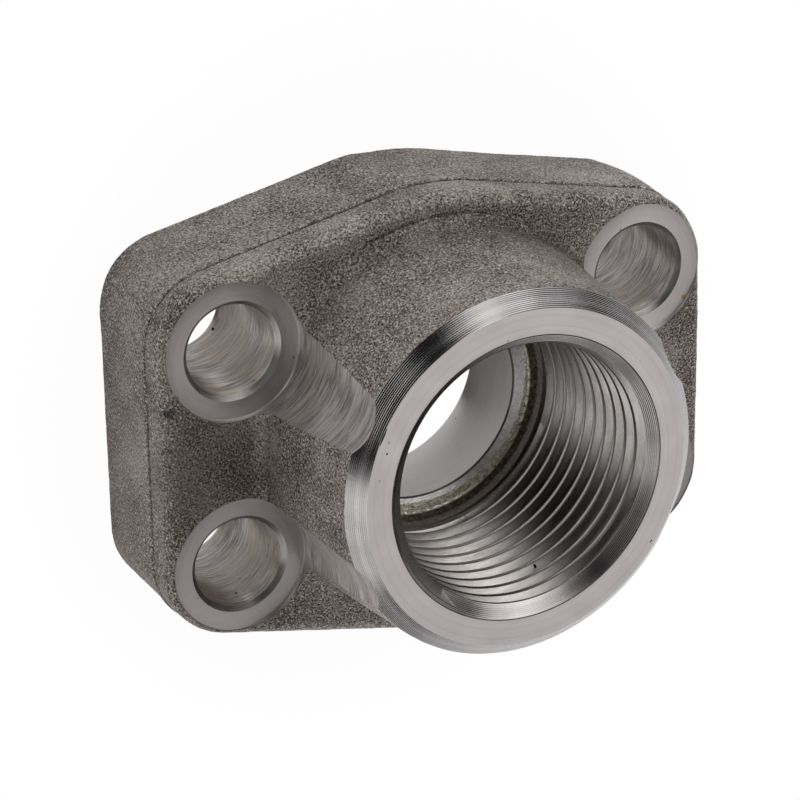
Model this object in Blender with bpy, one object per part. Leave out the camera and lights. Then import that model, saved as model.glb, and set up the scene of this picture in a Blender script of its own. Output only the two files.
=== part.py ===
"""A one-piece four-bolt hydraulic flange with an internal pipe thread, in metres.

The flange stands on its sealing face: the origin is the middle of that face, +Z runs
along the bore to the end face of the boss, and X is the long way of the bolt pattern.
A drop forging gives the plate and the boss. Turning, drilling and spotfacing then cut it
where it seals, screws and bolts, and a helical tool cuts the pipe thread.
"""

from math import acos, atan2, ceil, cos, hypot, pi, radians, sin, sqrt, tan

import bmesh
import bpy

# Overall sizes
OVERALL_HEIGHT = 0.037
PLATE_THICKNESS = 0.017
BOLT_SPAN_X = 0.0524
BOLT_SPAN_Y = 0.0262

# Port: the thread, the drilled pilot under it and the through bore
THREAD_MAJOR_RADIUS = 0.0166245
THREAD_PITCH = 0.002309
THREAD_FLANK_ANGLE = radians(27.5)
TAP_DRILL_ALLOWANCE = 0.00023
THREAD_START_ANGLE = radians(117)
THREAD_START_GAP = 0.0002
PORT_DEPTH = 0.0263
MOUTH_CLEARANCE = 0.0004
MOUTH_ANGLE = radians(120)
RELIEF_CLEARANCE = 0.0002
RELIEF_HEIGHT = 0.0016
PILOT_ALLOWANCE = 0.00064
PILOT_POINT_ANGLE = radians(140)
SHOULDER_WIDTH = 0.002
BORE_EDGE_BREAK = 0.0003

# Boss around the port
END_LAND = 0.00305
END_CHAMFER = 0.0019
BOSS_DRAFT = radians(5)
FOOT_FILLET = 0.0016

# Rim of the plate
SHELF_WIDTH = 0.0019
CORNER_WALL = 0.0009
EDGE_ROUND = 0.002
RIM_DRAFT = radians(0.4)
PARTING_HEIGHT = 0.012
FLASH_WIDTH = 0.0012
FLASH_PROUD = 0.00015
BACK_EDGE_BREAK = 0.0003

# Bolt holes and the seats of the screw heads
SCREW_RADIUS = 0.005
SCREW_CLEARANCE = 0.0004
HEAD_RADIUS = 0.008
HEAD_CLEARANCE = 0.00025
SEAT_DEPTH = 0.0006
HOLE_CHAMFER = 0.00055
HOLE_BACK_CHAMFER = 0.0002

# Groove for the O-ring in the sealing face
SEAL_LIP = 0.00265
SEAL_GROOVE_WIDTH = 0.0047
SEAL_GROOVE_DEPTH = 0.0028

# Mesh and cutting
TURNED_STEPS = 96
THREAD_STEPS = 48
THREAD_TOOL_LAP = 0.00005
HOLE_STEPS = 48
ARC_STEPS = 5
OVERRUN = 0.002
MERGE_DISTANCE = 0.0000005
SMOOTH_ANGLE = radians(25)

# The thread's section is a triangle that loses a sixth of its height at crest and root
triangle_height = THREAD_PITCH / (2 * tan(THREAD_FLANK_ANGLE))
thread_minor_radius = THREAD_MAJOR_RADIUS - triangle_height * 2 / 3
crest_radius = thread_minor_radius + TAP_DRILL_ALLOWANCE
root_width = 2 * triangle_height / 6 * tan(THREAD_FLANK_ANGLE)
flank_width = (THREAD_MAJOR_RADIUS - crest_radius) * tan(THREAD_FLANK_ANGLE)
crest_width = THREAD_PITCH - root_width - 2 * flank_width

# Radii and heights that follow from the sizes above
mouth_radius = THREAD_MAJOR_RADIUS + MOUTH_CLEARANCE
relief_radius = THREAD_MAJOR_RADIUS + RELIEF_CLEARANCE
pilot_radius = thread_minor_radius - PILOT_ALLOWANCE
bore_radius = pilot_radius - SHOULDER_WIDTH
shoulder_height = OVERALL_HEIGHT - PORT_DEPTH
pilot_floor = shoulder_height + (pilot_radius - bore_radius) / tan(PILOT_POINT_ANGLE / 2)
end_radius = mouth_radius + END_LAND
boss_radius = end_radius + END_CHAMFER
boss_top = OVERALL_HEIGHT - END_CHAMFER
foot_radius = boss_radius + (boss_top - PLATE_THICKNESS) * tan(BOSS_DRAFT)
hole_radius = SCREW_RADIUS + SCREW_CLEARANCE
seat_radius = HEAD_RADIUS + HEAD_CLEARANCE
seat_height = PLATE_THICKNESS - SEAT_DEPTH
bolt_x = BOLT_SPAN_X / 2
bolt_y = BOLT_SPAN_Y / 2
corner_radius = seat_radius + CORNER_WALL
waist_radius = foot_radius + SHELF_WIDTH + EDGE_ROUND
bolt_reach = hypot(bolt_x, bolt_y)
tangent_angle = atan2(bolt_y, bolt_x) + acos((waist_radius - corner_radius) / bolt_reach)


def clear_scene():
    for old in list(bpy.data.objects):
        bpy.data.objects.remove(old)


def make_material(name, colour, roughness):
    material = bpy.data.materials.new(name)
    material.use_nodes = True
    shader = material.node_tree.nodes["Principled BSDF"]
    shader.inputs["Base Color"].default_value = (*colour, 1)
    shader.inputs["Metallic"].default_value = 1
    shader.inputs["Roughness"].default_value = roughness
    return material


# The outline of the plate: a waist arc round the bore and an arc round each bolt hole,
# joined by straight tangents. A parallel outline has the same centres and shorter radii.


def corner_limits(inset):
    """The polar angles at which the corner arc of the first quadrant starts and ends."""
    radius = corner_radius - inset
    side_end = atan2(bolt_y, bolt_x + radius)
    tangent_end = atan2(
        bolt_y + radius * sin(tangent_angle), bolt_x + radius * cos(tangent_angle)
    )
    return side_end, tangent_end


def outline_radius(angle, inset):
    """The distance from the bore axis to the outline, moved in by inset."""
    angle = atan2(abs(sin(angle)), abs(cos(angle)))
    side_end, tangent_end = corner_limits(inset)
    radius = corner_radius - inset
    if angle <= side_end:
        return (bolt_x + radius) / cos(angle)
    if angle <= tangent_end:
        along = bolt_x * cos(angle) + bolt_y * sin(angle)
        across = bolt_x * sin(angle) - bolt_y * cos(angle)
        return along + sqrt(radius**2 - across**2)
    if angle <= tangent_angle:
        return (waist_radius - inset) / cos(angle - tangent_angle)
    return waist_radius - inset


def even_steps(start, end, count):
    return [start + (end - start) * step / count for step in range(count)]


def corner_steps(count):
    """Polar angles of points at equal turns round the corner arc."""
    angles = []
    for turn in even_steps(0, tangent_angle, count):
        x = bolt_x + corner_radius * cos(turn)
        y = bolt_y + corner_radius * sin(turn)
        angles.append(atan2(y, x))
    return angles


def outline_angles():
    """Polar angles all the way round, closer together at the corner arcs."""
    side_end, tangent_end = corner_limits(0)
    quarter = even_steps(0, side_end, 5) + corner_steps(8)
    quarter += even_steps(tangent_end, tangent_angle, 10)
    quarter += even_steps(tangent_angle, pi / 2, 3) + [pi / 2]
    half = quarter + [pi - angle for angle in reversed(quarter[:-1])]
    return half + [angle + pi for angle in half[1:-1]]


# The forging: one closed profile at each polar angle, from the back edge up to the end face


def rim_inset(height):
    """How far the draft moves the rim in from the outline at this height."""
    return height * tan(RIM_DRAFT)


def rim_profile():
    """(inset, height) of the rim, with the trimmed flash at the parting."""
    flash_foot = FLASH_WIDTH / 2
    flash_crest = FLASH_WIDTH / 4
    crest_inset = rim_inset(PARTING_HEIGHT) - FLASH_PROUD
    profile = [
        (BACK_EDGE_BREAK, 0),
        (rim_inset(BACK_EDGE_BREAK), BACK_EDGE_BREAK),
        (rim_inset(PARTING_HEIGHT - flash_foot), PARTING_HEIGHT - flash_foot),
        (crest_inset, PARTING_HEIGHT - flash_crest),
        (crest_inset, PARTING_HEIGHT + flash_crest),
        (rim_inset(PARTING_HEIGHT + flash_foot), PARTING_HEIGHT + flash_foot),
    ]
    start = rim_inset(PLATE_THICKNESS - EDGE_ROUND)
    for step in range(ARC_STEPS + 1):
        turn = pi / 2 * step / ARC_STEPS
        inset = start + (EDGE_ROUND - start) * (1 - cos(turn))
        height = PLATE_THICKNESS - EDGE_ROUND * (1 - sin(turn))
        profile.append((inset, height))
    return profile


def foot_fillet(angle):
    """The fillet's radius: full where the plate is wide, tight where the waist is narrow."""
    shelf = outline_radius(angle, EDGE_ROUND) - foot_radius
    room = shelf / tan((pi / 2 - BOSS_DRAFT) / 2)
    return (FOOT_FILLET**-4 + room**-4) ** -0.25


def foot_profile(angle):
    """(radius, height) up the concave fillet between the plate and the boss."""
    fillet = foot_fillet(angle)
    turn_whole = pi / 2 - BOSS_DRAFT
    centre_radius = foot_radius + fillet * tan(turn_whole / 2)
    centre_height = PLATE_THICKNESS + fillet
    profile = []
    for step in range(ARC_STEPS + 1):
        turn = turn_whole * step / ARC_STEPS
        profile.append((centre_radius - fillet * sin(turn), centre_height - fillet * cos(turn)))
    return profile


def make_forging(name, skin, cut):
    """The forged body, with its back face, end face and end chamfer already turned."""
    mesh = bmesh.new()
    columns = []
    for angle in outline_angles():
        profile = [(outline_radius(angle, inset), height) for inset, height in rim_profile()]
        profile += foot_profile(angle)
        profile += [(boss_radius, boss_top), (end_radius, OVERALL_HEIGHT)]
        columns.append(
            [mesh.verts.new((r * cos(angle), r * sin(angle), height)) for r, height in profile]
        )
    chamfer_row = len(columns[0]) - 2
    for column, following in zip(columns, columns[1:] + columns[:1]):
        for row in range(chamfer_row + 1):
            face = mesh.faces.new(
                (column[row], following[row], following[row + 1], column[row + 1])
            )
            face.material_index = int(row == chamfer_row)
    back = mesh.faces.new([column[0] for column in reversed(columns)])
    end = mesh.faces.new([column[-1] for column in columns])
    back.material_index = end.material_index = 1
    data = bpy.data.meshes.new(name)
    mesh.to_mesh(data)
    mesh.free()
    data.materials.append(skin)
    data.materials.append(cut)
    body = bpy.data.objects.new(name, data)
    bpy.context.collection.objects.link(body)
    return body


# The cutting tools: profiles of (radius, height), bottom to top, turned round the Z axis


def make_turned_tool(name, profile, steps, material, place=(0, 0, 0), lead=0, start=0):
    """The profile turned once from the start angle, while it rises by the lead of a thread."""
    mesh = bmesh.new()
    points = [mesh.verts.new((r * cos(start), r * sin(start), height)) for r, height in profile]
    edges = [mesh.edges.new(pair) for pair in zip(points, points[1:])]
    bmesh.ops.spin(
        mesh,
        geom=points + edges,
        cent=(0, 0, 0),
        axis=(0, 0, 1),
        dvec=(0, 0, lead / steps),
        angle=2 * pi,
        steps=steps,
        use_merge=lead == 0,
    )
    bmesh.ops.remove_doubles(mesh, verts=mesh.verts, dist=MERGE_DISTANCE)
    open_edges = [edge for edge in mesh.edges if edge.is_boundary]
    bmesh.ops.holes_fill(mesh, edges=open_edges, sides=0)
    bmesh.ops.recalc_face_normals(mesh, faces=mesh.faces)
    data = bpy.data.meshes.new(name)
    mesh.to_mesh(data)
    mesh.free()
    data.materials.append(material)
    tool = bpy.data.objects.new(name, data)
    tool.location = place
    tool.hide_render = True
    tool.display_type = "WIRE"
    bpy.context.collection.objects.link(tool)
    return tool


def port_profile():
    """Through bore, drill-point shoulder, thread relief, tapping drill, countersunk mouth."""
    top = OVERALL_HEIGHT + OVERRUN
    drill_radius = crest_radius - THREAD_TOOL_LAP
    relief_top = pilot_floor + RELIEF_HEIGHT
    mouth_flare = tan(MOUTH_ANGLE / 2)
    mouth_floor = OVERALL_HEIGHT - (mouth_radius - drill_radius) / mouth_flare
    return [
        (0, -OVERRUN),
        (bore_radius + BORE_EDGE_BREAK + OVERRUN, -OVERRUN),
        (bore_radius, BORE_EDGE_BREAK),
        (bore_radius, shoulder_height),
        (pilot_radius, pilot_floor),
        (relief_radius, pilot_floor),
        (relief_radius, relief_top),
        (drill_radius, relief_top + (relief_radius - drill_radius) / 2),
        (drill_radius, mouth_floor),
        (mouth_radius + OVERRUN * mouth_flare, top),
        (0, top),
    ]


def thread_profile():
    """Crests and roots from inside the relief to above the mouth, closed at the axis."""
    bottom = pilot_floor + THREAD_START_GAP
    turns = ceil((OVERALL_HEIGHT + OVERRUN - bottom) / THREAD_PITCH)
    profile = [(0, bottom)]
    for turn in range(turns):
        height = bottom + turn * THREAD_PITCH
        root_height = height + crest_width + flank_width
        profile += [
            (crest_radius, height),
            (crest_radius, height + crest_width),
            (THREAD_MAJOR_RADIUS, root_height),
            (THREAD_MAJOR_RADIUS, root_height + root_width),
        ]
    top = bottom + turns * THREAD_PITCH
    return profile + [(crest_radius, top), (0, top)]


def bolt_profile():
    """Clearance hole with both edges chamfered, and the seat that is faced for the head."""
    top = OVERALL_HEIGHT + OVERRUN
    return [
        (0, -OVERRUN),
        (hole_radius + HOLE_BACK_CHAMFER + OVERRUN, -OVERRUN),
        (hole_radius, HOLE_BACK_CHAMFER),
        (hole_radius, seat_height - HOLE_CHAMFER),
        (hole_radius + HOLE_CHAMFER, seat_height),
        (seat_radius, seat_height),
        (seat_radius, top),
        (0, top),
    ]


def groove_profile():
    """A closed ring for the O-ring groove, from its inner wall round to it again."""
    inner = bore_radius + SEAL_LIP
    outer = inner + SEAL_GROOVE_WIDTH
    corner = (inner, -OVERRUN)
    return [corner, (outer, -OVERRUN), (outer, SEAL_GROOVE_DEPTH), (inner, SEAL_GROOVE_DEPTH), corner]


def cut_with(body, tool):
    cut = body.modifiers.new(tool.name, "BOOLEAN")
    cut.operation = "DIFFERENCE"
    cut.solver = "MANIFOLD"
    cut.material_mode = "TRANSFER"
    cut.object = tool


clear_scene()
forged = make_material("forged_steel", (0.11, 0.098, 0.086), 0.62)
machined = make_material("machined_steel", (0.42, 0.40, 0.39), 0.3)
flange = make_forging("flange_body", forged, machined)
cut_with(flange, make_turned_tool("port_tool", port_profile(), TURNED_STEPS, machined))
thread_tool = make_turned_tool(
    "thread_tool",
    thread_profile(),
    THREAD_STEPS,
    machined,
    lead=THREAD_PITCH,
    start=THREAD_START_ANGLE,
)
cut_with(flange, thread_tool)
cut_with(flange, make_turned_tool("groove_tool", groove_profile(), TURNED_STEPS, machined))
for side_x, side_y in ((-1, -1), (1, -1), (1, 1), (-1, 1)):
    spot = (side_x * bolt_x, side_y * bolt_y, 0)
    bolt_tool = make_turned_tool("bolt_tool", bolt_profile(), HOLE_STEPS, machined, spot)
    cut_with(flange, bolt_tool)
flange.data.shade_smooth()
flange.data.set_sharp_from_angle(angle=SMOOTH_ANGLE)
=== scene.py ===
from math import acos, atan2, cos, hypot, pi, radians, sin, sqrt, tan

import bpy
import numpy as np
from mathutils import Matrix, Vector, noise


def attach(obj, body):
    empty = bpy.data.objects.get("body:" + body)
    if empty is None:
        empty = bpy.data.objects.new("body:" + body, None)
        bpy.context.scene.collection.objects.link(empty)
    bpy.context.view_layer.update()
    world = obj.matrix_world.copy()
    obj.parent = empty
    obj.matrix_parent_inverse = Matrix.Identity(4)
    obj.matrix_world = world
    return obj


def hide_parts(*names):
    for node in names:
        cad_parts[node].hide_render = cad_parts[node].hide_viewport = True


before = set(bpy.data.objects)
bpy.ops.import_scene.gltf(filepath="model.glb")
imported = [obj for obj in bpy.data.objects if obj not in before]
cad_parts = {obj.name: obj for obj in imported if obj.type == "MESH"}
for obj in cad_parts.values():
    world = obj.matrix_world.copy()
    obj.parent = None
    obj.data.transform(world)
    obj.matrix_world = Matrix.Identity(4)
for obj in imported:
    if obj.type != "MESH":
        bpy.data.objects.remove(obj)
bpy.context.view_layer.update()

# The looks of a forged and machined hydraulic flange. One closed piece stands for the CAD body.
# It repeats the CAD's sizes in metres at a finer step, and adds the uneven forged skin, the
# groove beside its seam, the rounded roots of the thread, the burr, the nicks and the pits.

# Sizes of the solid, as in the CAD source
OVERALL_HEIGHT = 0.037
PLATE_THICKNESS = 0.017
BOLT_X = 0.0262
BOLT_Y = 0.0131
THREAD_MAJOR_RADIUS = 0.0166245
THREAD_PITCH = 0.002309
THREAD_DEPTH_PER_PITCH = 0.640327
THREAD_START_ANGLE = radians(117)
THREAD_START_GAP = 0.0002
PORT_DEPTH = 0.0263
MOUTH_RADIUS = THREAD_MAJOR_RADIUS + 0.0004
MOUTH_FLARE = tan(radians(60))
RELIEF_RADIUS = THREAD_MAJOR_RADIUS + 0.0002
RELIEF_HEIGHT = 0.0016
MINOR_RADIUS = THREAD_MAJOR_RADIUS - THREAD_DEPTH_PER_PITCH * THREAD_PITCH
PILOT_RADIUS = MINOR_RADIUS - 0.00064
PILOT_SLOPE = tan(radians(70))
BORE_RADIUS = PILOT_RADIUS - 0.002
BORE_EDGE_BREAK = 0.0003
END_CHAMFER = 0.0019
END_RADIUS = MOUTH_RADIUS + 0.00305
BOSS_RADIUS = END_RADIUS + END_CHAMFER
BOSS_TOP = OVERALL_HEIGHT - END_CHAMFER
BOSS_DRAFT = radians(5)
FOOT_RADIUS = BOSS_RADIUS + (BOSS_TOP - PLATE_THICKNESS) * tan(BOSS_DRAFT)
FOOT_FILLET = 0.0016
EDGE_ROUND = 0.002
RIM_DRAFT = radians(0.4)
PARTING_HEIGHT = 0.012
FLASH_WIDTH = 0.0012
FLASH_PROUD = 0.00015
HOLE_RADIUS = 0.0054
SEAT_RADIUS = 0.00825
SEAT_HEIGHT = PLATE_THICKNESS - 0.0006
HOLE_CHAMFER = 0.00055
HOLE_BACK_CHAMFER = 0.0002
CORNER_RADIUS = SEAT_RADIUS + 0.0009
WAIST_RADIUS = FOOT_RADIUS + 0.0019 + EDGE_ROUND
BOLT_REACH = hypot(BOLT_X, BOLT_Y)
TANGENT_ANGLE = atan2(BOLT_Y, BOLT_X) + acos((WAIST_RADIUS - CORNER_RADIUS) / BOLT_REACH)
GROOVE_INNER = BORE_RADIUS + 0.00265
GROOVE_OUTER = GROOVE_INNER + 0.0047
GROOVE_DEPTH = 0.0028

# The thread's crests, which the drill before the tap leaves flat, and its rounded roots
CREST_RADIUS = MINOR_RADIUS + 0.00023
CREST_EDGE_RISE = 0.00005
CREST_EDGE_RUN = 0.00007
FLANK_SLOPE = tan(radians(27.5))
CREST_WIDTH = THREAD_PITCH * 5 / 6 - 2 * (THREAD_MAJOR_RADIUS - CREST_RADIUS) * FLANK_SLOPE
ROOT_ROUND = 0.137329 * THREAD_PITCH
PILOT_FLOOR = OVERALL_HEIGHT - PORT_DEPTH + (PILOT_RADIUS - BORE_RADIUS) / PILOT_SLOPE
RELIEF_TOP = PILOT_FLOOR + RELIEF_HEIGHT

# Fine edges of the machining: the lip over the bore, the burr round the shoulder, the relief's
# sloped wall, the lip of the mouth, and the round that the cutter leaves round a seat
BORE_LIP_DROP = 0.00012
BORE_LIP_WIDTH = 0.0002
BORE_LIP_RISE = 0.00005
BURR_WIDTH = 0.0003
BURR_TOP_WIDTH = 0.0001
BURR_RISE = 0.00004
BURR_OUTER = 0.00005
WALL_FOOT_IN = 0.0001
WALL_FOOT_OUT = 0.00005
WALL_FOOT_RISE = 0.0004
RELIEF_SHY = 0.0005
RELIEF_EDGE = 0.0001
MOUTH_LIP = 0.0001
MOUTH_LIP_HALF = 0.00006
MOUTH_LIP_FOOT = 0.00012
MOUTH_OPENING = 0.0005
SEAT_ROUND = 0.00025
SEAT_ROUND_MIDDLE = 0.00007

# The skin: how deep its waves, lumps and dimples are, and the groove beside the seam
WAVE_DEPTH = 0.00007
LUMP_DEPTH = 0.00006
DIMPLE_DEPTH = 0.00005
SEAM_HEIGHT = PARTING_HEIGHT + 0.00055
SEAM_HALF_WIDTH = 0.00017
SEAM_WANDER = 0.00012
SEAM_DEPTH_LEAST = 0.00006
SEAM_DEPTH_VARIES = 0.00024
SEAM_SHARE_LEFT = 0.25
SEAM_SHARE = 0.8

# The crease at the boss's foot, with the polar angles from its middle where it starts, is full,
# fades and ends
CREASE_ANGLE = radians(102)
CREASE_SPAN = (-0.75, -0.5, 0.17, 0.42)
CREASE_RADIUS = 0.0246
CREASE_CURVE = 0.0004
CREASE_WIDTH = 0.00022
CREASE_DEPTH = 0.0002
CREASE_RAGGED = 0.00025
CREASE_REACH = 0.0015

# Uneven corners of the rim: depths, and the angles in degrees or heights where each starts, is
# full, fades and ends
BACK_LEFT_BULGES = ((0.00038, (91, 99, 148, 165)), (0.00018, (128, 147, 150, 157)))
BACK_RIGHT_ANGLES = (19, 34, 56, 78)
BACK_RIGHT_OUT = 0.0005
BACK_RIGHT_IN = 0.0002
DENT_DEPTH = 0.0002
DENT_ANGLES = (8, 20, 27, 34)
DENT_HEIGHTS = (0.008, 0.012, 0.018, 0.02)

# Steps of the fine mesh: round the outline, up the rim to the seam, over it and above it, round
# the front edge, across the front, up the fillet and the boss, and round each kind of tool
SKIN_COLUMNS = 512
OUTLINE_SAMPLES = 8001
RIM_STEPS = (28, 17, 5)
EDGE_STEPS = 14
FRONT_STEPS = 24
FILLET_STEPS = 7
BOSS_STEPS = 40
TURNED_STEPS = 192
THREAD_STEPS = 120
HOLE_STEPS = 96
PLAIN_STEPS = 24
MARK_ROWS = 6
MARK_STEPS = 10
SMOOTH_ANGLE = radians(40)

# How far a tool reaches past the solid, how much taller the forging is at each end, and sizes
# that clear the whole part, its boss, its port or its back
OVERRUN = 0.002
STOCK = 0.0006
CLEAR_OF_PART = 0.05
CLEAR_OF_BOSS = 0.03
CLEAR_OF_PORT = 0.02
CLEAR_OF_BACK = 0.01

ZONES = (
    "forged_skin", "end_face", "end_chamfer", "back_face", "mouth", "thread", "relief",
    "ledge", "burr", "bore", "hole_wall", "hole_chamfer", "seat", "scallop", "groove", "pit",
    "lip",
)
ZONE = {name: index for index, name in enumerate(ZONES)}


# Node helpers for the materials


class Nodes:
    """Adds nodes to one tree. An input is a number, a colour, a vector or another socket."""

    def __init__(self, tree):
        self.tree = tree

    def add(self, kind, inputs=(), **settings):
        node = self.tree.nodes.new(kind)
        for name, value in settings.items():
            setattr(node, name, value)
        for name, value in dict(inputs).items():
            socket = node.inputs[name]
            if isinstance(value, bpy.types.NodeSocket):
                self.tree.links.new(value, socket)
            else:
                socket.default_value = value
        return node

    def math(self, operation, first, second=0.0, third=0.0):
        node = self.add("ShaderNodeMath", {0: first, 1: second, 2: third}, operation=operation)
        return node.outputs[0]

    def vector(self, operation, first, second=(0, 0, 0)):
        node = self.add("ShaderNodeVectorMath", {0: first, 1: second}, operation=operation)
        return node.outputs["Value" if operation in ("LENGTH", "DOT_PRODUCT") else 0]

    def ramp(self, value, low, high, out_low=0.0, out_high=1.0):
        """A smooth step of value from low to high."""
        inputs = {0: value, 1: low, 2: high, 3: out_low, 4: out_high}
        return self.add("ShaderNodeMapRange", inputs, interpolation_type="SMOOTHSTEP").outputs[0]

    def mix(self, share, first, second):
        inputs = {0: share, 6: first, 7: second}
        return self.add("ShaderNodeMix", inputs, data_type="RGBA").outputs[2]

    def noise(self, vector, scale, detail=2.0, rough=0.5):
        inputs = {"Vector": vector, "Scale": scale, "Detail": detail, "Roughness": rough}
        return self.add("ShaderNodeTexNoise", inputs).outputs[0]

    def rings(self, along, scale, detail=2.0):
        """Noise that varies only along one length, for tool marks."""
        inputs = {"W": along, "Scale": scale, "Detail": detail}
        return self.add("ShaderNodeTexNoise", inputs, noise_dimensions="1D").outputs[0]

    def grains(self, vector, scale, feature="F1"):
        inputs = {"Vector": vector, "Scale": scale}
        return self.add("ShaderNodeTexVoronoi", inputs, feature=feature)


def grey(value, red=1.0, blue=1.0):
    """A grey of this brightness, with red and blue as shares of its green."""
    return (value * red, value, value * blue, 1)


def start_material(name):
    material = bpy.data.materials.new(name)
    material.use_nodes = True
    nodes = Nodes(material.node_tree)
    place = nodes.add("ShaderNodeTexCoord").outputs["Object"]
    shader = material.node_tree.nodes["Principled BSDF"]
    shader.inputs["Metallic"].default_value = 1.0
    return material, nodes, place, shader


def finish_material(nodes, shader, colour, roughness, height, depth):
    """Links colour and roughness, and a bump whose height of one is depth metres."""
    bump = nodes.add("ShaderNodeBump", {"Height": height, "Distance": depth, "Strength": 1.0})
    for name, value in (("Base Color", colour), ("Roughness", roughness)):
        nodes.tree.links.new(value, shader.inputs[name])
    nodes.tree.links.new(bump.outputs[0], shader.inputs["Normal"])


# Where the skin is darker: a patch of scale on the plate, its left end in painted shade with a
# redder tint, and one small spot
SCALE_MIDDLE = (-0.0295, 0, PLATE_THICKNESS)
SCALE_RAGGED = 0.004
SCALE_EDGE = (0.0115, 0.0065)
LEFT_END_PAINTED_SHADE = (-0.018, -0.034)
SKIN_SPOT = ((-0.0344, 0.0072, 0.0166), 0.0008, grey(0.03))

# Coloured spots of metal surfaces: (centre, radius, colour)
RED_SPOT = ((-0.03325, 0.00858, SEAT_HEIGHT), 0.00045, grey(0.12, 2.6, 0.9))
ORANGE_SPOT = ((0.03251, 0.00853, SEAT_HEIGHT), 0.0004, grey(0.2, 1.9, 0.3))
THREAD_STAIN = ((0.00455, -0.0153, 0.0145), 0.0011, grey(0.09, 1.3, 0.65))


def forged_skin():
    """Shot-blasted forging: dark grey-brown, full of fine grains; some are glossier and painted
    brighter, a painted glint.
    """
    material, nodes, place, shader = start_material("forged_skin")
    parts = nodes.add("ShaderNodeSeparateXYZ", {0: place}).outputs
    grain = nodes.noise(place, 4200, 3, 0.65)
    pebbles = nodes.grains(place, 3300)
    specks = nodes.grains(place, 5600)
    cloud = nodes.noise(place, 160, 3)
    stain = nodes.noise(place, 60, 2)
    lot = nodes.vector("DOT_PRODUCT", specks.outputs["Color"], (0.6, 0.4, 0))
    gloss_and_painted_glint = nodes.math("MULTIPLY", nodes.ramp(lot, 0.58, 0.85), nodes.ramp(grain, 0.4, 0.6))
    tone = nodes.math("MULTIPLY_ADD", cloud, 0.22, nodes.math("MULTIPLY", grain, 0.78))
    base = nodes.mix(nodes.ramp(tone, 0.37, 0.65), grey(0.03, 1.2, 0.86), grey(0.48, 1.11, 0.91))
    # Painted glint: the glossier grains are also painted bright in the colour
    colour = nodes.mix(nodes.math("MULTIPLY", gloss_and_painted_glint, 0.75), base, grey(0.75, 1.07, 0.95))
    rust = nodes.math("MULTIPLY", nodes.ramp(stain, 0.4, 0.7), 0.3)
    colour = nodes.mix(rust, colour, nodes.mix(0.5, colour, grey(0.13, 1.35, 0.72)))
    from_scale = nodes.vector("LENGTH", nodes.vector("SUBTRACT", place, SCALE_MIDDLE))
    from_scale = nodes.math("MULTIPLY_ADD", cloud, SCALE_RAGGED, from_scale)
    scale = nodes.ramp(from_scale, *SCALE_EDGE, 0.0, 0.4)
    colour = nodes.mix(scale, colour, grey(0.04, 1.25, 0.8))
    # Painted shade on the plate's left end, with a redder tint
    painted_dark_side = nodes.ramp(parts[0], *LEFT_END_PAINTED_SHADE, 0.0, 0.24)
    colour = nodes.mix(painted_dark_side, colour, grey(0.03, 1.5, 1.0))
    colour = stained(nodes, place, colour, (SKIN_SPOT,))
    # Painted shade in the crease at the boss's foot and along the seam's groove
    colour = nodes.mix(skin_shade(nodes, place, parts, cloud), colour, grey(0.02, 1.15, 0.85))
    roughness = nodes.ramp(gloss_and_painted_glint, 0, 1, 0.52, 0.3)
    height = nodes.math("MULTIPLY_ADD", pebbles.outputs["Distance"], -0.6, 1.0)
    height = nodes.math("MULTIPLY_ADD", grain, 1.1, height)
    finish_material(nodes, shader, colour, roughness, height, 0.00014)
    return material


def skin_shade(nodes, place, parts, cloud):
    """The share of painted shade in the crease at the boss's foot and along the groove of the
    seam.
    """
    flat = nodes.vector("MULTIPLY", place, (1, 1, 0))
    radius = nodes.vector("LENGTH", flat)
    low = nodes.ramp(parts[2], PLATE_THICKNESS + FOOT_FILLET * 0.9, PLATE_THICKNESS + 0.0002)
    near = nodes.ramp(radius, FOOT_RADIUS + FOOT_FILLET * 1.1, FOOT_RADIUS + FOOT_FILLET * 0.4)
    crease = nodes.math("MULTIPLY", nodes.math("MULTIPLY", low, near), 0.2)
    wander = nodes.math("MULTIPLY_ADD", nodes.noise(place, 900, 2), 0.0003, -0.00015)
    away = nodes.math("ABSOLUTE", nodes.math("SUBTRACT", parts[2], SEAM_HEIGHT))
    away = nodes.math("ADD", away, wander)
    seam = nodes.ramp(away, SEAM_HALF_WIDTH * 1.4, SEAM_HALF_WIDTH * 0.4)
    broken = nodes.math("MULTIPLY", nodes.noise(place, 700, 3), nodes.ramp(cloud, 0.25, 0.6))
    seam = nodes.math("MULTIPLY", seam, nodes.ramp(broken, 0.08, 0.4, 0.0, 0.8))
    kept = nodes.ramp(parts[0], -BOLT_X - 0.004, -BOLT_X + 0.004, 0.75, 1.0)
    seam = nodes.math("MULTIPLY", seam, kept)
    return nodes.math("MAXIMUM", crease, seam)


def stained(nodes, place, colour, spots):
    """Lays small uneven spots of another colour over a surface: (centre, radius, colour)."""
    edge = nodes.math("MULTIPLY_ADD", nodes.noise(place, 2600, 3), 2.4, -1.2)
    for centre, radius, tint in spots:
        away = nodes.vector("LENGTH", nodes.vector("SUBTRACT", place, centre))
        share = nodes.math("ADD", nodes.math("DIVIDE", away, radius), edge)
        colour = nodes.mix(nodes.ramp(share, 1.0, 0.5, 0.0, 0.85), colour, tint)
    return colour


# How the tool marks of one screw hole differ from another's, and how they lean on the walls
HOLE_LOT = (0.0031, 0.0017, 0)
HOLE_TILT = (0.11, -0.16, 0)


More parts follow.
